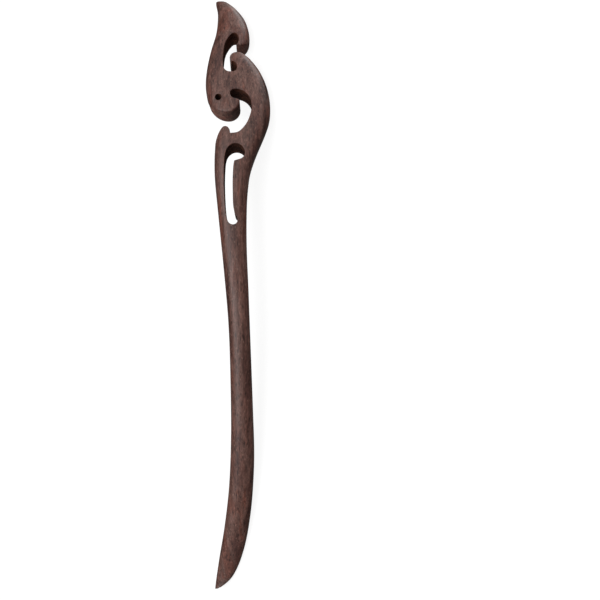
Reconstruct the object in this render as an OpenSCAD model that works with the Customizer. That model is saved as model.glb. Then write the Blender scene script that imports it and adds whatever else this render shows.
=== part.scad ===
/* [Stick] */
// Straight length from the point to the end of the leaf
stick_length = 180; // [150:1:200]
// Radius of the bow that the stick has when it is seen from the side
bow_radius = 270; // [240:5:400]
// Thickness of the shaft at its middle
shaft_thick = 6.8; // [5.6:0.1:7.6]

/* [Head] */
// Thickness of the carved head
head_thick = 8.4; // [6.5:0.1:9.5]
// How flat the faces of the head are, from an oval to a slab
head_flatness = 3.2; // [3:0.1:5]
// Diameter of the bird's drilled eye
eye_dia = 2; // [1.2:0.1:2.6]

/* [Hidden] */
wood = "#5f4b42";

// The tables are drawn for a stick of this length, and grow with stick_length.
// A station is a distance along the bow, from 0 at the point to the end of the leaf,
// and x is the distance to the right of the middle of the head.
drawn_length = 180;
grow = stick_length / drawn_length;
end_station = 182.7;
mid_station = end_station / 2;

// Left edge of the stick, as [station, x]
left_edge = [
    [0, -6.85], [3, -6.5], [10, -5.45], [20, -3.8], [32, -2.4], [46, -1.75], [62, -1.8],
    [80, -2.4], [96, -3.8], [114, -5.7], [124, -6.7], [130, -6.85], [134, -6.7], [138, -6.6],
    [142, -7.2], [145, -8], [147, -8.5], [149, -9.25], [153.5, -9.85], [159, -9.5], [165, -8.4],
    [170.5, -7.05], [175.3, -6.6], [179, -6.7], [181.8, -7.25], [182.7, -7.3]
];

// Right edge of the stick, as [station, x]
right_edge = [
    [0, -6.2], [1.2, -4.4], [3.3, -2.15], [6, -0.5], [10, 1.1], [16, 2.7], [24, 4], [32, 4.75],
    [42, 5.15], [54, 4.85], [72, 4.2], [90, 3.5], [104, 2.9], [116, 2.9], [122, 3.3], [126, 3.9],
    [131, 5.45], [138, 8.2], [142, 9.4], [146, 9.7], [150, 9.3], [154, 8.25], [157.6, 6.65],
    [160, 5.1], [162, 3.55], [164.5, 2.8], [167, 3.1], [170, 3.2], [173, 2.65], [176, 1.5],
    [179.3, -0.85], [181.6, -3.2], [182.7, -4.8]
];

// Body of the stick, as [station, share of the full thickness, likeness to the head]
body = [
    [0, 0.2, 0], [2.5, 0.4, 0], [8, 0.56, 0], [20, 0.76, 0], [40, 0.93, 0], [70, 1, 0],
    [105, 1, 0.12], [120, 1.06, 0.5], [131, 1.12, 0.9], [140, 1.05, 1], [150, 1, 1],
    [166, 0.98, 0.8], [174, 0.86, 0.75], [180, 0.6, 0.7], [182.7, 0.4, 0.6]
];
shaft_flatness = 2.2;

// Rings of the loft, as [first station, last station, step]
ring_spans = [[0, 2.1, 0.7], [3.2, 11, 1.3], [14, 118, 4], [120, 180.3, 0.9], [181.1, 182.7, 0.8]];
ring_sides = 24;

// Each cut-out is a list of smooth runs of [x, station] that meet at corners, and its
// cutter stands square to the bow at one station.
curve_steps = 4;
cutter_depth = 30;

// The crescent opens to the right, between the hooked end of the leaf and the wing
crescent_station = 163.5;
crescent = [
    [[5, 169.9], [3.3, 167.8], [2.3, 166.3], [1.2, 165.7], [-0.75, 165.5]],
    [[-0.75, 165.5], [-0.1, 166.6], [0.1, 168.1], [-0.5, 169.4], [-1.3, 169.75],
        [-2.3, 169.2], [-3.65, 167.1], [-4.35, 165], [-4.65, 162], [-4.6, 159.6],
        [-4.25, 157.8], [-3.4, 156.9], [-2.3, 156.65], [-1, 156.8], [-0.35, 157.7],
        [-0.5, 159.1], [-1.3, 159.95], [-2.2, 160.1]],
    [[-2.2, 160.1], [-2.55, 161], [-2.4, 162], [-1.5, 162.9], [-0.1, 163.2], [1.4, 162.85],
        [2.8, 162.05], [5, 161.1]]
];

// The scroll opens to the left, between the bird's breast and the knob under it
scroll_station = 143;
scroll = [
    [[-11, 149.1], [-8.9, 147.1], [-7.6, 145.5], [-6.4, 144.5], [-5, 143.85], [-3.5, 143.55],
        [-1.9, 143.7], [-0.4, 144.6], [0.45, 146], [0.6, 147.5]],
    [[0.6, 147.5], [-0.4, 147.85], [-1.5, 148.1], [-2.2, 149], [-2.2, 150.1], [-1.5, 150.8],
        [0, 150.9], [1.6, 150.35], [2.9, 149.3], [3.8, 147.8], [4.2, 146], [4.1, 144.2],
        [3.6, 142.1], [2.75, 140.1], [1.5, 138.35], [0, 137.2], [-2.1, 136.95]],
    [[-2.1, 136.95], [-2.3, 138.05], [-2.8, 138.85], [-3.5, 139.2], [-4.45, 138.95],
        [-5.5, 137.5], [-6.3, 135.6], [-6.85, 133.6], [-7.7, 131]]
];

// The slot has a wide upper end with a ledge on its right, and a small notch at its lower end
slot_station = 121;
slot = [
    [[-0.8, 128.5], [0.3, 128.8], [1.5, 129.3], [2.25, 130.3], [2.3, 131.5], [1.4, 133],
        [0, 133.65], [-1.5, 133.45], [-2.85, 132.3], [-3.55, 130.4], [-3.8, 127], [-3.8, 122],
        [-3.5, 116], [-3.1, 112.5], [-2.5, 110.4], [-1.4, 109.6], [-0.3, 109.8], [0.25, 110.6],
        [0.2, 111.6], [-0.5, 112.5]],
    [[-0.5, 112.5], [-1.05, 115.2], [-1.2, 119], [-1.25, 122.5], [-1.1, 126.5], [-0.8, 128.5]]
];

// The bird's eye, as [x, station]
eye = [-5.85, 148.45];

// Laid down by itself the stick leans over, on its point and on the rims of wing and leaf
lie_pitch = 0.9;
lie_roll = 39.1;

// Smooth value of a table's column at a station, through each row of the table
function row_slope(table, i, column) =
    let (before = table[max(i - 1, 0)], after = table[min(i + 1, len(table) - 1)])
    (after[column] - before[column]) / (after[0] - before[0]);
function value_at(table, station, column = 1) =
    let (
        i = max([for (k = [0 : len(table) - 2]) if (table[k][0] <= station) k]),
        gap = table[i + 1][0] - table[i][0],
        t = (station - table[i][0]) / gap,
        u = 1 - t
    )
    table[i][column] * (1 + 2 * t) * u * u
    + table[i + 1][column] * (1 + 2 * u) * t * t
    + row_slope(table, i, column) * gap * t * u * u
    - row_slope(table, i + 1, column) * gap * t * t * u;

// Points of a smooth run through its corners and bends, up to the start of the next run
function smooth(run) = [
    for (k = [0 : len(run) - 2], step = [0 : curve_steps - 1])
        let (
            t = step / curve_steps,
            before = run[max(k - 1, 0)], here = run[k],
            next = run[k + 1], after = run[min(k + 2, len(run) - 1)]
        )
        here + t * (next - before) / 2
        + t * t * (before - 2.5 * here + 2 * next - after / 2)
        + t * t * t * (1.5 * here - 1.5 * next + (after - before) / 2)
];

// Angle along the bow, and the place of a point that stands at a height over its middle line
bow_drop = sqrt(pow(bow_radius, 2) - pow(stick_length / 2, 2));
function bow_angle(station) = (station - mid_station) * grow / bow_radius * 180 / PI;
function bowed(x, station, height) = [
    x * grow,
    (bow_radius + height) * sin(bow_angle(station)),
    (bow_radius + height) * cos(bow_angle(station)) - bow_drop
];

// One ring of the stick: an oval in the shaft that turns to a rounded slab in the head
function power(value, exponent) = sign(value) * pow(abs(value), exponent);
function ring(station) =
    let (
        left = value_at(left_edge, station),
        right = value_at(right_edge, station),
        likeness = value_at(body, station, 2),
        thick = value_at(body, station) * (shaft_thick + (head_thick - shaft_thick) * likeness),
        corner = 2 / (shaft_flatness + (head_flatness - shaft_flatness) * likeness)
    )
    [
        for (i = [0 : ring_sides - 1])
            let (turn = 360 * i / ring_sides)
            bowed(
                (left + right) / 2 + (right - left) / 2 * power(cos(turn), corner),
                station,
                thick / 2 * power(sin(turn), corner)
            )
    ];
ring_stations = [for (span = ring_spans, station = [span[0] : span[2] : span[1] + 0.01]) station];
rings = [for (station = ring_stations) ring(min(station, end_station))];
blank_points = [for (one = rings) each one];

function side_faces(row) = [
    for (i = [0 : ring_sides - 1])
        let (j = (i + 1) % ring_sides, here = row * ring_sides, next = here + ring_sides)
        each [[here + i, next + j, next + i], [here + i, here + j, next + j]]
];

// Turns a point as the laid stick is turned, to find where it touches the ground
function laid(point) =
    let (
        y = point[1] * cos(lie_pitch) - point[2] * sin(lie_pitch),
        z = point[1] * sin(lie_pitch) + point[2] * cos(lie_pitch)
    )
    [
        point[0] * cos(lie_roll) + z * sin(lie_roll),
        y,
        z * cos(lie_roll) - point[0] * sin(lie_roll)
    ];
laid_x = [for (point = blank_points) laid(point)[0]];
laid_y = [for (point = blank_points) laid(point)[1]];
laid_z = [for (point = blank_points) laid(point)[2]];
ground_point = [(min(laid_x) + max(laid_x)) / 2, (min(laid_y) + max(laid_y)) / 2, min(laid_z)];

module lay_down() {
    translate(-ground_point) rotate([lie_pitch, lie_roll, 0]) children();
}

// Stands its children square to the bow at a station
module at_station(station) {
    translate([0, 0, -bow_drop]) rotate([-bow_angle(station), 0, 0])
        translate([0, 0, bow_radius]) children();
}

module blank() {
    last = len(blank_points) - ring_sides;
    polyhedron(
        points = blank_points,
        faces = concat(
            [[for (i = [ring_sides - 1 : -1 : 0]) i]],
            [for (row = [0 : len(rings) - 2]) each side_faces(row)],
            [[for (i = [0 : ring_sides - 1]) last + i]]
        )
    );
}

module cutter(runs, station) {
    at_station(station) linear_extrude(height = cutter_depth, center = true)
        polygon([for (run = runs, point = smooth(run)) (point - [0, station]) * grow]);
}

module eye_drill() {
    at_station(eye[1]) translate([eye[0] * grow, 0, 0])
        cylinder(h = cutter_depth, d = eye_dia, center = true, $fn = 48);
}

module hair_stick() {
    color(wood) lay_down() difference() {
        blank();
        cutter(crescent, crescent_station);
        cutter(scroll, scroll_station);
        cutter(slot, slot_station);
        eye_drill();
    }
}

hair_stick();
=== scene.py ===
"""A carved wooden hair stick that lies on a pale table, seen square to its carved face.

The stick is drawn flat first, as a pattern in millimetres: x is the distance to the right of the
middle of the head, and station is the distance along the bow from the point. Geometry Nodes give
the pattern its thickness, round the edges of its cut-outs, bend it to its bow and lay it down as
the CAD lies.
"""
import math

import bpy
import numpy as np
from mathutils import Euler, Matrix, Vector
from mathutils.geometry import delaunay_2d_cdt


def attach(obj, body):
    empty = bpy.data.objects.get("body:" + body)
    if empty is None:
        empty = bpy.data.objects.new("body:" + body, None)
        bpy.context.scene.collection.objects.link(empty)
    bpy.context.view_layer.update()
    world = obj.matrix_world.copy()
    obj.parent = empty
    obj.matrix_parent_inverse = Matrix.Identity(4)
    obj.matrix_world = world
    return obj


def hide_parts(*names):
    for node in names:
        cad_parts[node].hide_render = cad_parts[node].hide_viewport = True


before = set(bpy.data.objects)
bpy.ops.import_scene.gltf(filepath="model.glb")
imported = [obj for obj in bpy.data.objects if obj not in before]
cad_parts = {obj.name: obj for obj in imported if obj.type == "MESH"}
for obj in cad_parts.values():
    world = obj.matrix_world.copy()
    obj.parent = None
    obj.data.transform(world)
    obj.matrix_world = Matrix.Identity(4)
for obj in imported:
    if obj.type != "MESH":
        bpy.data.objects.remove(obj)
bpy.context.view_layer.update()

# Sizes of the stick in millimetres, and how it lies, in degrees, as in the CAD
MM = 0.001
STICK_LENGTH = 180
BOW_RADIUS = 270
SHAFT_THICK = 6.8
HEAD_THICK = 8.4
SHAFT_FLATNESS = 2.2
HEAD_FLATNESS = 3.2
EYE = (-5.85, 148.45)
EYE_DIAMETER = 2
END_STATION = 182.7
LIE_PITCH = 0.9
LIE_ROLL = 39.1

# How far the edges are rounded, in millimetres: inside the narrow cuts, at tips that the sandpaper
# met, on the bird's breast, and at the two ends of the stick
CRISP = 0.18
TIP = 0.3
SOFT = 0.6
END_ROUNDING = 0.9
# How far a cut-out's corners and mouths are rounded along its outline, and over what length
# one edge's rounding turns into the next
CORNER_REACH = 0.22
ROUNDING_CHANGE = 1.2

# Spacing of the mesh in millimetres, over the faces and along the outlines, and how many steps
# there are down a wall and over a rounded edge
FACE_STEP = 0.42
OUTLINE_STEP = 0.15
WALL_STEPS = 14
ROUNDING_RINGS = 4
# How many points draw each piece of a smooth run, an edge of the stick and a line across it,
# before they are spaced evenly
RUN_SAMPLES = 16
EDGE_SAMPLES = 600
ACROSS_SAMPLES = 400
# How many points are measured at once, which spares memory
BATCH = 2000

# Left edge of the stick, as (station, x)
LEFT_EDGE = [
    (0, -6.85), (3, -6.5), (10, -5.45), (20, -3.8), (32, -2.4), (46, -1.75), (62, -1.8),
    (80, -2.4), (96, -3.8), (114, -5.7), (124, -6.7), (130, -6.85), (134, -6.7), (138, -6.6),
    (142, -7.2), (145, -8), (147, -8.5), (149, -9.25), (153.5, -9.85), (159, -9.5), (165, -8.4),
    (170.5, -7.05), (175.3, -6.6), (179, -6.7), (181.8, -7.25), (182.7, -7.3),
]

# Right edge of the stick, as (station, x)
RIGHT_EDGE = [
    (0, -6.2), (1.2, -4.4), (3.3, -2.15), (6, -0.5), (10, 1.1), (16, 2.7), (24, 4), (32, 4.75),
    (42, 5.15), (54, 4.85), (72, 4.2), (90, 3.5), (104, 2.9), (116, 2.9), (122, 3.3), (126, 3.9),
    (131, 5.45), (138, 8.2), (142, 9.4), (146, 9.7), (150, 9.3), (154, 8.25), (157.6, 6.65),
    (160, 5.1), (162, 3.55), (164.5, 2.8), (167, 3.1), (170, 3.2), (173, 2.65), (176, 1.5),
    (179.3, -0.85), (181.6, -3.2), (182.7, -4.8),
]

# Body of the stick, as (station, share of the full thickness, likeness to the head)
BODY = [
    (0, 0.2, 0), (2.5, 0.4, 0), (8, 0.56, 0), (20, 0.76, 0), (40, 0.93, 0), (70, 1, 0),
    (105, 1, 0.12), (120, 1.06, 0.5), (131, 1.12, 0.9), (140, 1.05, 1), (150, 1, 1),
    (166, 0.98, 0.8), (174, 0.86, 0.75), (180, 0.6, 0.7), (182.7, 0.4, 0.6),
]
LIKENESS = 2  # its column in the body's table

# Each cut-out is a list of smooth runs that meet at corners, as (rounding of the run's edges,
# its points as (x, station)).
# The crescent opens to the right, between the hooked end of the leaf and the wing
CRESCENT = [
    (TIP, [(5, 169.9), (3.3, 167.8), (2.3, 166.3), (1.2, 165.7), (-0.75, 165.5)]),
    (CRISP, [(-0.75, 165.5), (-0.1, 166.6), (0.1, 168.1), (-0.5, 169.4), (-1.3, 169.75),
             (-2.3, 169.2), (-3.65, 167.1), (-4.35, 165), (-4.65, 162), (-4.6, 159.6),
             (-4.25, 157.8), (-3.4, 156.9), (-2.3, 156.65), (-1, 156.8), (-0.35, 157.7),
             (-0.5, 159.1), (-1.3, 159.95), (-2.2, 160.1)]),
    (TIP, [(-2.2, 160.1), (-2.55, 161), (-2.4, 162), (-1.5, 162.9), (-0.1, 163.2), (1.4, 162.85),
           (2.8, 162.05), (5, 161.1)]),
]

# The scroll opens to the left, between the bird's breast and the knob under it
SCROLL = [
    (SOFT, [(-11, 149.1), (-8.9, 147.1), (-7.6, 145.5), (-6.4, 144.5), (-5, 143.85), (-3.5, 143.55),
            (-1.9, 143.7), (-0.4, 144.6), (0.45, 146), (0.6, 147.5)]),
    (CRISP, [(0.6, 147.5), (-0.4, 147.85), (-1.5, 148.1), (-2.2, 149), (-2.2, 150.1), (-1.5, 150.8),
             (0, 150.9), (1.6, 150.35), (2.9, 149.3), (3.8, 147.8), (4.2, 146), (4.1, 144.2),
             (3.6, 142.1), (2.75, 140.1), (1.5, 138.35), (0, 137.2), (-2.1, 136.95)]),
    (TIP, [(-2.1, 136.95), (-2.3, 138.05), (-2.8, 138.85), (-3.5, 139.2), (-4.45, 138.95),
           (-5.5, 137.5), (-6.3, 135.6), (-6.85, 133.6), (-7.7, 131)]),
]

# The slot has a wide upper end with a ledge on its right, and a small notch at its lower end
SLOT = [
    (CRISP, [(-0.8, 128.5), (0.3, 128.8), (1.5, 129.3), (2.25, 130.3), (2.3, 131.5), (1.4, 133),
             (0, 133.65), (-1.5, 133.45), (-2.85, 132.3), (-3.55, 130.4), (-3.8, 127), (-3.8, 122),
             (-3.5, 116), (-3.1, 112.5), (-2.5, 110.4), (-1.4, 109.6), (-0.3, 109.8), (0.25, 110.6),
             (0.2, 111.6), (-0.5, 112.5)]),
    (CRISP, [(-0.5, 112.5), (-1.05, 115.2), (-1.2, 119), (-1.25, 122.5), (-1.1, 126.5),
             (-0.8, 128.5)]),
]


def value_at(table, station, column=1):
    """Smooth value of a table's column at each station, through each row of the table."""
    rows = np.array(table, float)
    at, value = rows[:, 0], rows[:, column]
    before = np.maximum(np.arange(len(at)) - 1, 0)
    after = np.minimum(np.arange(len(at)) + 1, len(at) - 1)
    slope = (value[after] - value[before]) / (at[after] - at[before])
    i = np.clip(np.searchsorted(at, station, side="right") - 1, 0, len(at) - 2)
    gap = at[i + 1] - at[i]
    t = (station - at[i]) / gap
    u = 1 - t
    return (
        value[i] * (1 + 2 * t) * u * u
        + value[i + 1] * (1 + 2 * u) * t * t
        + slope[i] * gap * t * u * u
        - slope[i + 1] * gap * t * t * u
    )


def thickness(station):
    """Thickness of the stick at each station, as in the CAD, where the two ends aren't rounded."""
    likeness = value_at(BODY, station, LIKENESS)
    return value_at(BODY, station) * (SHAFT_THICK + (HEAD_THICK - SHAFT_THICK) * likeness)


def section(station):
    """Middle, half width, half thickness and flatness of the stick at each station. Its two ends
    are rounded."""
    left, right = value_at(LEFT_EDGE, station), value_at(RIGHT_EDGE, station)
    to_end = np.clip(np.minimum(station, END_STATION - station) / END_ROUNDING, 0, 1)
    thick = thickness(station) * np.sqrt(1 - (1 - to_end) ** 2)
    flatness = SHAFT_FLATNESS + (HEAD_FLATNESS - SHAFT_FLATNESS) * value_at(BODY, station, LIKENESS)
    return (left + right) / 2, (right - left) / 2, thick / 2, flatness


def profile(points):
    """Each point's place across the stick, from -1 to 1, the half thickness and the flatness there."""
    middle, half_width, half_thick, flatness = section(points[:, 1])
    return np.clip((points[:, 0] - middle) / half_width, -1, 1), half_thick, flatness


def unrolled(points):
    """Pattern points with x measured over the stick's surface, where the mesh is spaced evenly."""
    across, half_thick, flatness = profile(points)
    height = half_thick * (1 - np.abs(across) ** flatness) ** (1 / flatness)
    return np.column_stack([points[:, 0] + np.sign(across) * (half_thick - height), points[:, 1]])


def smooth(run, steps=RUN_SAMPLES):
    """A smooth curve through each point of a run."""
    run = np.array(run, float)
    padded = np.vstack([run[:1], run, run[-1:]])
    before, here, following, after = (padded[i : i + len(run) - 1, None] for i in range(4))
    t = np.linspace(0, 1, steps, endpoint=False)[None, :, None]
    curve = (
        here
        + t * (following - before) / 2
        + t**2 * (before - 2.5 * here + 2 * following - after / 2)
        + t**3 * (1.5 * here - 1.5 * following + (after - before) / 2)
    )
    return np.vstack([curve.reshape(-1, 2), run[-1:]])


def even(path, step, trim=0):
    """A path with its points evenly spaced, and trimmed by a length at both ends."""
    along = np.append(0, np.cumsum(np.linalg.norm(np.diff(path, axis=0), axis=1)))
    count = max(2, round((along[-1] - 2 * trim) / step) + 1)
    at = np.linspace(trim, along[-1] - trim, count)
    return np.column_stack([np.interp(at, along, path[:, i]) for i in (0, 1)])


def inside_part(path):
    """The stretch of a path that lies between the stick's edges, with its ends on them."""
    middle, half_width, _, _ = section(path[:, 1])
    beyond = np.abs(path[:, 0] - middle) - half_width
    first, last = np.flatnonzero(beyond < 0)[[0, -1]]
    kept = path[first : last + 1]
    if first > 0:
        share = beyond[first - 1] / (beyond[first - 1] - beyond[first])
        kept = np.vstack([path[first - 1] + share * (path[first] - path[first - 1]), kept])
    if last < len(path) - 1:
        share = beyond[last + 1] / (beyond[last + 1] - beyond[last])
        kept = np.vstack([kept, path[last + 1] + share * (path[last] - path[last + 1])])
    return kept


def edge_path(table, start, stop):
    """One edge of the stick between two stations."""
    station = np.linspace(start, stop, EDGE_SAMPLES)
    return np.column_stack([value_at(table, station), station])


def ring_of(paths):
    """Joins paths in a ring whose corners are rounded. Gives its points, and how far the edge is
    rounded at each, which is 0 where the ring follows the stick's own edge.

    Each path is (rounding, points)."""
    points, rounding = [], []
    trimmed = [even(path, OUTLINE_STEP, CORNER_REACH) for _, path in paths]
    for i, (radius, path) in enumerate(paths):
        following = (i + 1) % len(paths)
        start, corner, end = trimmed[i][-1], path[-1], trimmed[following][0]
        t = np.linspace(0, 1, 2 + round(2 * CORNER_REACH / OUTLINE_STEP))[1:-1, None]
        turn = (1 - t) ** 2 * start + 2 * t * (1 - t) * corner + t**2 * end
        turn_radius = max(radius, paths[following][0])
        points += [trimmed[i], turn]
        rounding += [np.full(len(trimmed[i]), radius), np.full(len(turn), turn_radius)]
    points, rounding = np.vstack(points), np.concatenate(rounding).astype(float)
    cut = rounding > 0
    reach = round(ROUNDING_CHANGE / OUTLINE_STEP)
    total = sum(np.roll(rounding, k) for k in range(-reach, reach + 1))
    share = sum(np.roll(cut, k).astype(float) for k in range(-reach, reach + 1))
    return points, np.where(cut, total / np.maximum(share, 1), 0)


def outer_ring():
    """The stick's outline, with the crescent and the scroll that open into it."""
    crescent = [(radius, inside_part(smooth(run))[::-1]) for radius, run in reversed(CRESCENT)]
    scroll = [(radius, inside_part(smooth(run))) for radius, run in SCROLL]
    leaf = np.vstack([
        edge_path(RIGHT_EDGE, crescent[-1][1][-1, 1], END_STATION),
        edge_path(LEFT_EDGE, END_STATION, scroll[0][1][0, 1]),
    ])
    shaft = np.vstack([
        edge_path(LEFT_EDGE, scroll[-1][1][-1, 1], 0),
        edge_path(RIGHT_EDGE, 0, crescent[0][1][0, 1]),
    ])
    return ring_of([(0, shaft)] + crescent + [(0, leaf)] + scroll)


def inner_rings():
    """The slot and the drilled eye, each with the wood on its left."""
    slot, rounding = ring_of([(radius, smooth(run)) for radius, run in SLOT])
    turn = np.arange(0, 2 * math.pi, OUTLINE_STEP / (EYE_DIAMETER / 2))
    eye = EYE_DIAMETER / 2 * np.column_stack([np.cos(turn), -np.sin(turn)]) + EYE
    return [(slot[::-1], rounding[::-1]), (eye, np.full(len(eye), CRISP))]


def nearest_cut(points, edges):
    """Distance from each point to the nearest cut, and how far the edge there is rounded.

    The edges are columns of the start, the end, and the rounding at both."""
    gap, rounding = np.empty(len(points)), np.empty(len(points))
    starts, span, radii = edges[:, 0:2], edges[:, 2:4] - edges[:, 0:2], edges[:, 4:6]
    almost_none = 1e-12
    length = np.maximum((span**2).sum(1), almost_none)
    for k in range(0, len(points), BATCH):
        away = points[k : k + BATCH, None] - starts
        share = np.clip((away * span).sum(2) / length, 0, 1)
        far = ((away - share[..., None] * span) ** 2).sum(2)
        i = far.argmin(1)
        row = np.arange(len(i))
        gap[k : k + BATCH] = np.sqrt(far[row, i])
        rounding[k : k + BATCH] = radii[i, 0] + share[row, i] * (radii[i, 1] - radii[i, 0])
    return gap, rounding


def within(points, rings):
    """Whether each point lies on the wood's side of the rings."""
    inside = np.zeros(len(points), bool)
    for ring in rings:
        (x0, y0), (x1, y1) = ring.T, np.roll(ring, -1, axis=0).T
        for k in range(0, len(points), BATCH):
            x, y = points[k : k + BATCH, :1], points[k : k + BATCH, 1:]
            crosses = (y0 <= y) != (y1 <= y)
            reach = x0 + (y - y0) / np.where(y1 == y0, 1, y1 - y0) * (x1 - x0)
            inside[k : k + BATCH] ^= (crosses & (x < reach)).sum(1) % 2 == 1
    return inside


def rounding_points(rings):
    """Points inside each cut's edge, where it is rounded, in steps of a quarter turn."""
    found, depths = [], []
    for ring, rounding in rings:
        along = np.roll(ring, -1, axis=0) - np.roll(ring, 1, axis=0)
        into_wood = np.column_stack([-along[:, 1], along[:, 0]])
        into_wood /= np.linalg.norm(into_wood, axis=1, keepdims=True)
        for k in range(1, ROUNDING_RINGS + 1):
            depth = rounding * (1 - math.cos(math.pi / 2 * k / ROUNDING_RINGS))
            found.append((ring + depth[:, None] * into_wood)[rounding > 0])
            depths.append(depth[rounding > 0])
    return np.vstack(found), np.concatenate(depths)


def face_points():
    """Staggered rows of points over the stick's face, evenly spaced over its surface."""
    rows = []
    for k, station in enumerate(np.arange(FACE_STEP, END_STATION, FACE_STEP * math.sqrt(0.75))):
        middle, half_width, _, _ = section(station)
        x = middle + half_width * np.sin(np.linspace(-math.pi / 2, math.pi / 2, ACROSS_SAMPLES))
        over = unrolled(np.column_stack([x, np.full(len(x), station)]))[:, 0]
        count = max(1, round((over[-1] - over[0]) / FACE_STEP))
        at = over[0] + (over[-1] - over[0]) * (np.arange(1, count) - k % 2 / 2) / count
        rows.append(np.column_stack([np.interp(at, over, x), np.full(len(at), station)]))
    return np.vstack(rows)


def flat_pattern():
    """The stick as a flat closed mesh: an upper and a lower face, and the walls of the cuts."""
    rings = [outer_ring()] + inner_rings()
    outlines = [unrolled(ring) for ring, _ in rings]
    outer = np.hstack([outlines[0], np.roll(outlines[0], -1, axis=0), np.zeros_like(outlines[0])])
    edges, cuts, first = [], [], 0
    for ring, rounding in rings:
        edges += [(first + i, first + (i + 1) % len(ring)) for i in range(len(ring))]
        beside = np.roll(rounding, -1)
        columns = np.hstack([ring, np.roll(ring, -1, axis=0), rounding[:, None], beside[:, None]])
        cuts.append(columns[(rounding > 0) | (beside > 0)])
        first += len(ring)
    cuts = np.vstack(cuts)
    cuts[:, 4:] = np.where(cuts[:, 4:] > 0, cuts[:, 4:], cuts[:, 4:].max(1, keepdims=True))

    # In a corner, a point of one edge's rounding is left out where another edge is clearly nearer
    rounded, depth = rounding_points(rings)
    clearly_nearer = 0.97
    rounded = rounded[nearest_cut(rounded, cuts)[0] > clearly_nearer * depth]
    rounded = rounded[within(unrolled(rounded), outlines)]
    face = face_points()
    gap, rounding = nearest_cut(face, cuts)
    face = face[gap > rounding + FACE_STEP / 2]
    face = face[within(unrolled(face), outlines)]
    face = face[nearest_cut(unrolled(face), outer)[0] > FACE_STEP / 2]
    points = np.vstack([ring for ring, _ in rings] + [rounded, face])
    over = unrolled(points)

    whole_hull, same_place = 0, 1e-7
    corners = [Vector(p) for p in over]
    _, _, triangles, origin, _, _ = delaunay_2d_cdt(corners, edges, [], whole_hull, same_place)
    place = np.array([ids[0] for ids in origin])
    triangles = place[np.array(triangles)]
    triangles = triangles[within(over[triangles].mean(1), outlines)]
    # Where all its corners are on the stick's own edge, a triangle would have no thickness
    own_edge = np.zeros(len(points), bool)
    own_edge[:first] = np.concatenate([rounding == 0 for _, rounding in rings])
    triangles = triangles[~own_edge[triangles].all(1)]
    a, b, c = (over[triangles[:, i]] for i in range(3))
    turned = np.cross(b - a, c - a) < 0
    triangles[turned] = triangles[turned][:, ::-1]
    return rings, points, triangles, nearest_cut(points, cuts)


# The finishes that the walls of the cuts can have. Their tones carry painted light on the sanded walls
# and painted shade on the filed ones
WALLS = ("sanded", "filed")


def pattern_mesh():
    """The flat pattern as a mesh in metres, with what the nodes need to give it its form."""
    rings, points, triangles, (gap, rounding) = flat_pattern()
    across, half_thick, flatness = profile(points)
    # Right on the stick's own edge, where there is no height
    edge = np.concatenate([radius == 0 for _, radius in rings])
    across[: len(edge)][edge] = 1

    count = len(points)
    faces = [tuple(t) for t in triangles] + [tuple(t[::-1] + count) for t in triangles]
    walls = {name: [False] * len(faces) for name in WALLS}
    source = [np.arange(count), np.arange(count)]
    level = [np.full(count, 1.0), np.full(count, -1.0)]
    next_new, first = 2 * count, 0
    steps = 1 - 2 * np.arange(1, WALL_STEPS) / WALL_STEPS
    for ring, radius in rings:
        ids = first + np.arange(len(ring))
        new = next_new + np.arange(len(ring) * len(steps)).reshape(len(ring), -1)
        columns = np.column_stack([ids, new, ids + count])
        for i in np.flatnonzero((radius > 0) | (np.roll(radius, -1) > 0)):
            here, there = columns[i], columns[(i + 1) % len(ring)]
            faces += [(here[k], here[k + 1], there[k + 1], there[k]) for k in range(WALL_STEPS)]
            # The crisp edges are those of cuts too narrow for sandpaper
            narrow = 0 < radius[i] < (CRISP + TIP) / 2
            # The filed walls get darker tones, which are painted shade in these narrow cuts
            walls["filed"] += [narrow] * WALL_STEPS
            # The sanded walls get lighter tones, which are painted light on them
            walls["sanded"] += [not narrow] * WALL_STEPS
        source.append(np.repeat(ids, len(steps)))
        level.append(np.tile(steps, len(ring)))
        next_new += new.size
        first += len(ring)
    source, level = np.concatenate(source), np.concatenate(level)
    used = np.unique(np.concatenate(faces))
    place_of = np.zeros(len(source), int)
    place_of[used] = np.arange(len(used))
    source, level = source[used], level[used]

    mesh = bpy.data.meshes.new("stick_pattern")
    flat = np.column_stack([points[source] * MM, np.zeros(len(source))])
    mesh.from_pydata(flat.tolist(), [], [place_of[list(face)].tolist() for face in faces])
    values = {
        "level": level,
        "across": across[source],
        "flatness": flatness[source],
        "half_thickness": half_thick[source] * MM,
        "gap": gap[source] * MM,
        "rounding": rounding[source] * MM,
    }
    for name, value in values.items():
        mesh.attributes.new(name, "FLOAT", "POINT").data.foreach_set("value", value.astype(np.float32))
    for name, value in walls.items():
        mesh.attributes.new(name, "BOOLEAN", "FACE").data.foreach_set("value", value)
    return mesh


def add(tree, kind, inputs=(), out=0, **settings):
    """Adds a node with its settings, links or sets its inputs, and gives one of its outputs."""
    made = tree.nodes.new(kind)
    for name, value in settings.items():
        setattr(made, name, value)
    for key, value in dict(inputs).items():
        if isinstance(value, bpy.types.NodeSocket):
            tree.links.new(value, made.inputs[key])
        else:
            made.inputs[key].default_value = value
    return made.outputs[out]


# What the pattern says of each point, for the carving tree
FORM_NUMBERS = ("level", "across", "flatness", "half_thickness", "gap", "rounding")
# The upper and lower face meet at the stick's own edge, where points this near are joined, in metres
JOINED_WITHIN = 1e-6

# Named inputs of the carving tree, as (name, socket type)
CARVING_INPUTS = [
    ("Pattern", "NodeSocketGeometry"),
    ("Bow Radius", "NodeSocketFloat"),
    ("Middle Station", "NodeSocketFloat"),
    ("Bow Drop", "NodeSocketFloat"),
    ("Resting Turn", "NodeSocketRotation"),
    ("Resting Place", "NodeSocketVector"),
    ("Waxed Finish", "NodeSocketMaterial"),
    ("Sanded Finish", "NodeSocketMaterial"),
    ("Filed Finish", "NodeSocketMaterial"),
]


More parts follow.
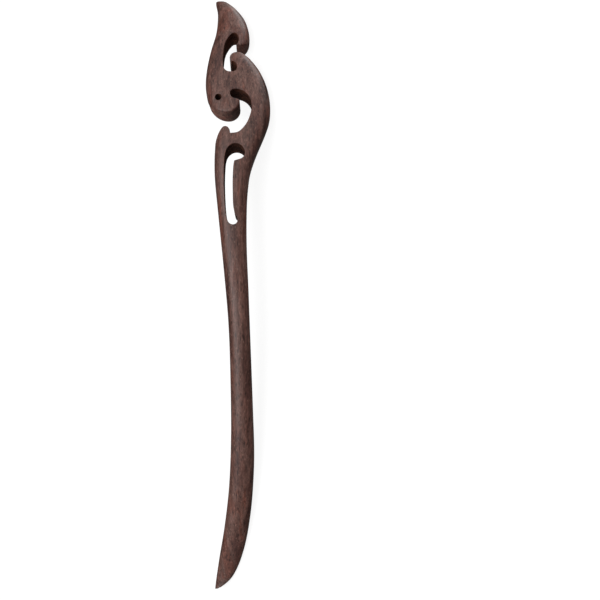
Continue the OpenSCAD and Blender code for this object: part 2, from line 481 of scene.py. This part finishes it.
def carving_tree():
    """Nodes that turn the flat pattern into the carved, bowed stick, and lay it down."""
    tree = bpy.data.node_groups.new("carve_and_bow", "GeometryNodeTree")
    for name, kind in CARVING_INPUTS:
        tree.interface.new_socket(name, in_out="INPUT", socket_type=kind)
    tree.interface.new_socket("Stick", in_out="OUTPUT", socket_type="NodeSocketGeometry")
    given = tree.nodes.new("NodeGroupInput").outputs
    number = {
        name: add(tree, "GeometryNodeInputNamedAttribute", {"Name": name}, data_type="FLOAT")
        for name in FORM_NUMBERS
    }
    math_node = "ShaderNodeMath"

    # The section is an oval in the shaft and a rounded slab in the head
    share = add(tree, math_node, {0: number["across"]}, operation="ABSOLUTE")
    share = add(tree, math_node, {0: share, 1: number["flatness"]}, operation="POWER")
    share = add(tree, math_node, {0: 1.0, 1: share}, operation="SUBTRACT")
    root = add(tree, math_node, {0: 1.0, 1: number["flatness"]}, operation="DIVIDE")
    share = add(tree, math_node, {0: share, 1: root}, operation="POWER")

    # The edges of the cuts are rounded over a quarter turn
    away = add(tree, math_node, {0: number["gap"], 1: number["rounding"]},
               operation="DIVIDE", use_clamp=True)
    near = add(tree, math_node, {0: 1.0, 1: away}, operation="SUBTRACT")
    near = add(tree, math_node, {0: near, 1: near}, operation="MULTIPLY")
    level_part = add(tree, math_node, {0: 1.0, 1: near}, operation="SUBTRACT")
    level_part = add(tree, math_node, {0: level_part}, operation="SQRT")
    fall = add(tree, math_node, {0: 1.0, 1: level_part}, operation="SUBTRACT")
    fall = add(tree, math_node, {0: fall, 1: number["rounding"]}, operation="MULTIPLY")
    depth = add(tree, math_node, {0: number["half_thickness"], 1: fall}, operation="SUBTRACT")
    height = add(tree, math_node, {0: depth, 1: share}, operation="MULTIPLY")
    height = add(tree, math_node, {0: height, 1: number["level"]}, operation="MULTIPLY")

    # The stick is bent round the bow's axis
    flat = tree.nodes.new("ShaderNodeSeparateXYZ")
    tree.links.new(add(tree, "GeometryNodeInputPosition"), flat.inputs[0])
    angle = add(tree, math_node, {0: flat.outputs["Y"], 1: given["Middle Station"]},
                operation="SUBTRACT")
    angle = add(tree, math_node, {0: angle, 1: given["Bow Radius"]}, operation="DIVIDE")
    radius = add(tree, math_node, {0: given["Bow Radius"], 1: height}, operation="ADD")
    sine = add(tree, math_node, {0: angle}, operation="SINE")
    cosine = add(tree, math_node, {0: angle}, operation="COSINE")
    forward = add(tree, math_node, {0: radius, 1: sine}, operation="MULTIPLY")
    upward = add(tree, math_node, {0: radius, 1: cosine}, operation="MULTIPLY")
    upward = add(tree, math_node, {0: upward, 1: given["Bow Drop"]}, operation="SUBTRACT")
    place = add(tree, "ShaderNodeCombineXYZ", {"X": flat.outputs["X"], "Y": forward, "Z": upward})

    stick = add(tree, "GeometryNodeSetPosition", {"Geometry": given["Pattern"], "Position": place})
    stick = add(tree, "GeometryNodeMergeByDistance", {
        "Geometry": stick, "Distance": JOINED_WITHIN,
    })
    stick = add(tree, "GeometryNodeTransform", {
        "Geometry": stick, "Translation": given["Resting Place"], "Rotation": given["Resting Turn"],
    })
    stick = add(tree, "GeometryNodeSetShadeSmooth", {"Geometry": stick, "Shade Smooth": True})
    stick = add(tree, "GeometryNodeRealizeInstances", {"Geometry": stick})
    stick = add(tree, "GeometryNodeSetMaterial", {"Geometry": stick, "Material": given["Waxed Finish"]})
    for name in WALLS:
        walls = add(tree, "GeometryNodeInputNamedAttribute", {"Name": name}, data_type="BOOLEAN")
        stick = add(tree, "GeometryNodeSetMaterial", {
            "Geometry": stick, "Selection": walls, "Material": given[name.title() + " Finish"],
        })
    tree.links.new(stick, tree.nodes.new("NodeGroupOutput").inputs["Stick"])
    return tree


# The bow's frame has the stick's two ends level, and is turned and moved to lie as the CAD does
BOW_DROP = math.sqrt(BOW_RADIUS**2 - (STICK_LENGTH / 2) ** 2)
RESTING_TURN = Euler((math.radians(LIE_PITCH), math.radians(LIE_ROLL), 0))


def resting_place():
    """What moves the turned stick onto the middle of its box's base, in metres, as in the CAD."""
    stations, turns = 500, 97
    station = np.linspace(0, END_STATION, stations)[:, None]
    turn = np.linspace(0, 2 * math.pi, turns)[None, :]
    middle, half_width, _, flatness = section(station)
    power = 2 / flatness
    x = middle + half_width * np.sign(np.cos(turn)) * np.abs(np.cos(turn)) ** power
    height = thickness(station) / 2 * np.sign(np.sin(turn)) * np.abs(np.sin(turn)) ** power
    radius = BOW_RADIUS + height
    angle = (station - END_STATION / 2) / BOW_RADIUS
    bowed = np.stack([x, radius * np.sin(angle), radius * np.cos(angle) - BOW_DROP], -1)
    laid = bowed.reshape(-1, 3) @ np.array(RESTING_TURN.to_matrix()).T
    low, high = laid.min(0), laid.max(0)
    return Vector((-(low[0] + high[0]) / 2, -(low[1] + high[1]) / 2, -low[2])) * MM


RESTING_PLACE = resting_place()
BOW_TO_REST = Matrix.Translation(RESTING_PLACE) @ RESTING_TURN.to_matrix().to_4x4()


def carved_stick(waxed_finish, sanded_painted_light_finish, filed_painted_shade_finish):
    """The whole stick as one plain mesh."""
    draft = bpy.data.objects.new("stick_draft", pattern_mesh())
    bpy.context.scene.collection.objects.link(draft)
    tree = carving_tree()
    modifier = draft.modifiers.new("carve_and_bow", "NODES")
    modifier.node_group = tree
    values = {
        "Bow Radius": BOW_RADIUS * MM,
        "Middle Station": END_STATION / 2 * MM,
        "Bow Drop": BOW_DROP * MM,
        "Resting Turn": RESTING_TURN,
        "Resting Place": RESTING_PLACE,
        "Waxed Finish": waxed_finish,
        "Sanded Finish": sanded_painted_light_finish,
        "Filed Finish": filed_painted_shade_finish,
    }
    for item in tree.interface.items_tree:
        if item.name in values:
            modifier[item.identifier] = values[item.name]
    evaluated = draft.evaluated_get(bpy.context.evaluated_depsgraph_get())
    mesh = bpy.data.meshes.new_from_object(evaluated)
    mesh.name = "carved_stick"
    for name in FORM_NUMBERS + WALLS:
        mesh.attributes.remove(mesh.attributes[name])
    stick = bpy.data.objects.new("carved_stick", mesh)
    bpy.context.scene.collection.objects.link(stick)
    bpy.data.objects.remove(draft)
    return stick


def colour(hex_value):
    """An sRGB hex colour as linear red, green, blue and alpha."""
    parts = [int(hex_value[i : i + 2], 16) / 255 for i in (1, 3, 5)]
    return [c / 12.92 if c <= 0.04045 else ((c + 0.055) / 1.055) ** 2.4 for c in parts] + [1]


# The wood's patterns, as name: (cell in millimetres across and along the grain, kind, settings).
# Its real fibres and pores are about 0.1 mm wide, too fine to show, so the fibres are drawn 0.4 mm
# wide, and the pores, one in each cell, about 0.3 mm wide.
NOISE, CELLS = "ShaderNodeTexNoise", "ShaderNodeTexVoronoi"
PATTERNS = {
    "patches": ((3.2, 26), NOISE, {"Detail": 2.0, "Roughness": 0.5, "Distortion": 0.6}),
    "streaks": ((1.1, 26), NOISE, {"Detail": 3.0, "Roughness": 0.6, "Distortion": 0.5}),
    "fibres": ((0.4, 1.6), NOISE, {"Detail": 2.0, "Roughness": 0.6, "Distortion": 1.0}),
    "pores": ((0.75, 3.4), CELLS, {"Randomness": 1.0}),
    "specks": ((0.8, 1.6), CELLS, {"Randomness": 1.0}),
}
# How light each pattern makes the wood, as name: (its lower and upper value, the light at both).
# For the specks it is how much of their own tone shows instead.
SHADES = {
    "streaks": ((0.3, 0.7), (0.62, 1.38)),
    "fibres": ((0.3, 0.7), (0.55, 1.5)),
    "pores": ((0.12, 0.3), (0.4, 1.0)),
    "specks": ((0.08, 0.28), (0.55, 0.0)),
}
# Where the patches turn from one tone to the next
TONE_STOPS = (0.36, 0.45, 0.53, 0.62)
# How much smoother and rougher the fibres make the surface
FIBRE_GLOSS = (-0.05, 0.07)
WOOD_IOR = 1.5
# Where the stick was cut from its board, in millimetres
CUT_FROM = (23, -38, 14)
# A dark vein in it, partly a streak in the grain and partly painted shade along the head's rounded
# right edge: its x, width and darkest width in millimetres, and the light left there
SHADED_VEIN_X, SHADED_VEIN_WIDTH, SHADED_VEIN_CORE, SHADED_VEIN_LIGHT = 8.3, 1.1, 0.2, 0.45


def stretched(tree, board, size, kind, settings):
    """A pattern whose cells have a real size across and along the board's grain."""
    across, along = (1 / (MM * length) for length in size)
    scale = (across, along, across)
    place = add(tree, "ShaderNodeVectorMath", {0: board, 1: scale}, operation="MULTIPLY")
    return add(tree, kind, {"Vector": place, "Scale": 1.0, **settings})


def dark_hardwood(name, tones, sheen, roughness, relief):
    """A dense, dark tropical wood. Its grain runs straight through the board that it was cut from.

    It gives the eye greyish brown and reddish streaks, a dark vein at the right of the head that is
    partly a streak and partly painted shade on its rounded edge, fine pores that are dashes on the
    shaft and dots where the bowed head cuts across them, and a soft sheen. The tones are those of the
    patches, and last that of the specks. The relief of fibres and pores is in millimetres."""
    *patch_tones, speck_tone = tones
    material = bpy.data.materials.new(name)
    material.use_nodes = True
    tree = material.node_tree
    shader = tree.nodes["Principled BSDF"]
    place = add(tree, "ShaderNodeTexCoord", out="Object")
    in_bow = add(tree, "ShaderNodeMapping", {
        "Vector": place, "Location": RESTING_PLACE, "Rotation": RESTING_TURN,
    }, vector_type="TEXTURE")
    shift = [MM * length for length in CUT_FROM]
    board = add(tree, "ShaderNodeVectorMath", {0: in_bow, 1: shift}, operation="ADD")
    grain = {pattern: stretched(tree, board, *row) for pattern, row in PATTERNS.items()}

    base = tree.nodes.new("ShaderNodeValToRGB")
    ramp = base.color_ramp
    ramp.elements[0].position, ramp.elements[1].position = TONE_STOPS[0], TONE_STOPS[-1]
    for position in TONE_STOPS[1:-1]:
        ramp.elements.new(position)
    for element, tone in zip(ramp.elements, patch_tones):
        element.color = colour(tone)
    tree.links.new(grain["patches"], base.inputs["Fac"])

    shade = {
        pattern: add(tree, "ShaderNodeMapRange", {
            "Value": grain[pattern], "From Min": low, "From Max": high, "To Min": dark, "To Max": pale,
        })
        for pattern, ((low, high), (dark, pale)) in SHADES.items()
    }
    # The vein, partly painted shade along the head's right edge, wavers with the patches
    x = add(tree, "ShaderNodeSeparateXYZ", {0: in_bow}, out="X")
    waver = add(tree, "ShaderNodeMath", {0: grain["patches"], 1: SHADED_VEIN_WIDTH * MM, 2: x},
                operation="MULTIPLY_ADD")
    off_shaded_vein = add(tree, "ShaderNodeMath", {0: waver, 1: (SHADED_VEIN_X + SHADED_VEIN_WIDTH / 2) * MM},
                   operation="SUBTRACT")
    off_shaded_vein = add(tree, "ShaderNodeMath", {0: off_shaded_vein}, operation="ABSOLUTE")
    shaded_vein = add(tree, "ShaderNodeMapRange", {
        "Value": off_shaded_vein, "From Min": SHADED_VEIN_CORE * MM, "From Max": SHADED_VEIN_WIDTH * MM,
        "To Min": SHADED_VEIN_LIGHT, "To Max": 1.0,
    })
    light = shade["streaks"]
    for other in (shade["fibres"], shade["pores"], shaded_vein):
        light = add(tree, "ShaderNodeMath", {0: light, 1: other}, operation="MULTIPLY")
    tinted = add(tree, "ShaderNodeVectorMath", {0: base.outputs["Color"], "Scale": light},
                 operation="SCALE")
    speckled = tree.nodes.new("ShaderNodeMix")
    speckled.data_type = "RGBA"
    tree.links.new(shade["specks"], speckled.inputs["Factor"])
    tree.links.new(tinted, speckled.inputs["A"])
    speckled.inputs["B"].default_value = colour(speck_tone)
    tree.links.new(speckled.outputs["Result"], shader.inputs["Base Color"])

    (low, high), _ = SHADES["fibres"]
    smoother, rougher = FIBRE_GLOSS
    gloss = add(tree, "ShaderNodeMapRange", {
        "Value": grain["fibres"], "From Min": low, "From Max": high,
        "To Min": roughness + smoother, "To Max": roughness + rougher,
    })
    tree.links.new(gloss, shader.inputs["Roughness"])
    height = add(tree, "ShaderNodeMath", {0: grain["fibres"], 1: shade["pores"]}, operation="ADD")
    bump = add(tree, "ShaderNodeBump", {
        "Height": height, "Strength": 1.0, "Distance": relief * MM,
    }, out="Normal")
    tree.links.new(bump, shader.inputs["Normal"])
    shader.inputs["Specular IOR Level"].default_value = sheen
    shader.inputs["IOR"].default_value = WOOD_IOR
    return material


def waxed_wood():
    """Sanded and waxed, on the faces, which gives the wood a satin sheen that greys its brown."""
    tones = ("#4d312b", "#5e3f37", "#674a42", "#623c32", "#8f6d60")
    return dark_hardwood("waxed_dark_hardwood", tones, sheen=0.45, roughness=0.45, relief=0.02)


def sanded_painted_light_wood():
    """Sanded, with little wax, on the walls of the wide mouths, which shows its brown warmer. Its tones
    are lighter than the faces', as painted light on these walls.
    """
    tones = ("#624238", "#765347", "#7e5f55", "#784e43", "#8f6d60")
    return dark_hardwood("sanded_painted_light_dark_hardwood", tones, sheen=0.25, roughness=0.6, relief=0.03)


def filed_painted_shade_wood():
    """Sawn and filed, in the narrow cuts, where no cloth reaches, which leaves it dull. Its darker
    tones are painted shade in these narrow cuts.
    """
    tones = ("#3e221a", "#4e3025", "#543629", "#5e3729", "#6e4a3b")
    return dark_hardwood("filed_painted_shade_dark_hardwood", tones, sheen=0.1, roughness=0.8, relief=0.05)


# How far the table reaches to each side and how high its rim is, in metres, and how it shines
TABLE_REACH = 4
TABLE_RIM = 1.5
TABLE_GLOW = 0.9


def light_table():
    """A wide tray of white acrylic lit from below, so that what lies on it hardly throws a shadow.

    The studio's lights pass through it, and it throws no light of its own on the wood, whose
    underside and walls stay dark. Low views see its rim behind the stick."""
    mesh = bpy.data.meshes.new("light_table")
    square = [(-1, -1), (1, -1), (1, 1), (-1, 1)]
    corners = [(x * TABLE_REACH, y * TABLE_REACH, z) for z in (0, TABLE_RIM) for x, y in square]
    sides = [(i, i + 4, (i + 1) % 4 + 4, (i + 1) % 4) for i in range(4)]
    mesh.from_pydata(corners, [], [(0, 1, 2, 3)] + sides)
    table = bpy.data.objects.new("light_table", mesh)
    bpy.context.scene.collection.objects.link(table)
    table.visible_diffuse = False
    table.visible_glossy = False
    table.visible_shadow = False
    material = bpy.data.materials.new("white_acrylic")
    material.use_nodes = True
    shader = material.node_tree.nodes["Principled BSDF"]
    shader.inputs["Base Color"].default_value = colour("#808080")
    shader.inputs["Roughness"].default_value = 0.9
    shader.inputs["Specular IOR Level"].default_value = 0.0
    shader.inputs["Emission Color"].default_value = colour("#ffffff")
    shader.inputs["Emission Strength"].default_value = TABLE_GLOW
    mesh.materials.append(material)
    return table


# Soft lights, as (name, direction to the right, up and toward the eye as in the picture,
# size in metres, power in watts). Each is the same distance from the stick's middle.
LIGHT_DISTANCE = 0.8
LIGHTS = [
    ("key_light", (-0.6, 0.0, 0.8), 0.7, 4.2),
    ("fill_light", (-0.1, 0.45, 0.88), 1.2, 2.4),
    ("edge_light", (0.38, 0.92, 0.02), 0.5, 4.2),
    ("low_light", (-0.2, -0.96, 0.1), 0.5, 2.0),
    ("under_light", (-0.1, -0.6, -0.8), 1.2, 0.6),
]
# How strongly the white room shines from all sides
ROOM_LIGHT = 0.08


def studio():
    """A soft light from the left, a wider one from the top, a low one at each end of the stick, and
    a faint one from under the table, in a white room that is nearly dark."""
    for name, direction, size, power in LIGHTS:
        data = bpy.data.lights.new(name, "AREA")
        data.shape, data.size, data.energy = "DISK", size, power
        light = bpy.data.objects.new(name, data)
        bpy.context.scene.collection.objects.link(light)
        toward = BOW_TO_REST.to_3x3() @ Vector(direction).normalized()
        light.location = toward * LIGHT_DISTANCE
        light.rotation_mode = "QUATERNION"
        light.rotation_quaternion = toward.to_track_quat("Z", "Y")
    world = bpy.data.worlds.new("white_room")
    bpy.context.scene.world = world
    world.use_nodes = True
    room = world.node_tree.nodes["Background"]
    room.inputs["Color"].default_value = colour("#ffffff")
    room.inputs["Strength"].default_value = ROOM_LIGHT
    bpy.context.scene.view_settings.view_transform = "Standard"


# The camera in the bow's frame, in millimetres: what it looks at, from how far, and its height
# above the plane of the stick's ends in degrees. The picture is 600 px wide, and a pixel at the
# point it looks at is this wide.
CAMERA_AIM = (18.66, -3.11, 7.5)
CAMERA_DISTANCE = 467.2
CAMERA_ELEVATION = 85.71
PIXEL_WIDTH = 0.3001
PICTURE_WIDTH = 600
SENSOR_WIDTH = 36
# What the camera sees between, in metres
CLIP = (0.01, 20)


def camera():
    """The camera at the photo's angle to the stick's face."""
    data = bpy.data.cameras.new("camera")
    data.sensor_width = SENSOR_WIDTH
    data.lens = SENSOR_WIDTH * CAMERA_DISTANCE / (PIXEL_WIDTH * PICTURE_WIDTH)
    data.clip_start, data.clip_end = CLIP
    made = bpy.data.objects.new("camera", data)
    bpy.context.scene.collection.objects.link(made)
    elevation = math.radians(CAMERA_ELEVATION)
    back = Vector((0, -math.cos(elevation), math.sin(elevation)))
    right = Vector((1, 0, 0))
    axes = Matrix((right, back.cross(right), back)).transposed().to_4x4()
    place = (Vector(CAMERA_AIM) + back * CAMERA_DISTANCE) * MM
    made.matrix_world = BOW_TO_REST @ Matrix.Translation(place) @ axes
    bpy.context.scene.camera = made


camera()
studio()
light_table()
# The filed walls' darker tones are painted shade, and the sanded walls' lighter tones are painted light
stick = carved_stick(waxed_wood(), sanded_painted_light_wood(), filed_painted_shade_wood())
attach(stick, "root")
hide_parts("hair_stick")
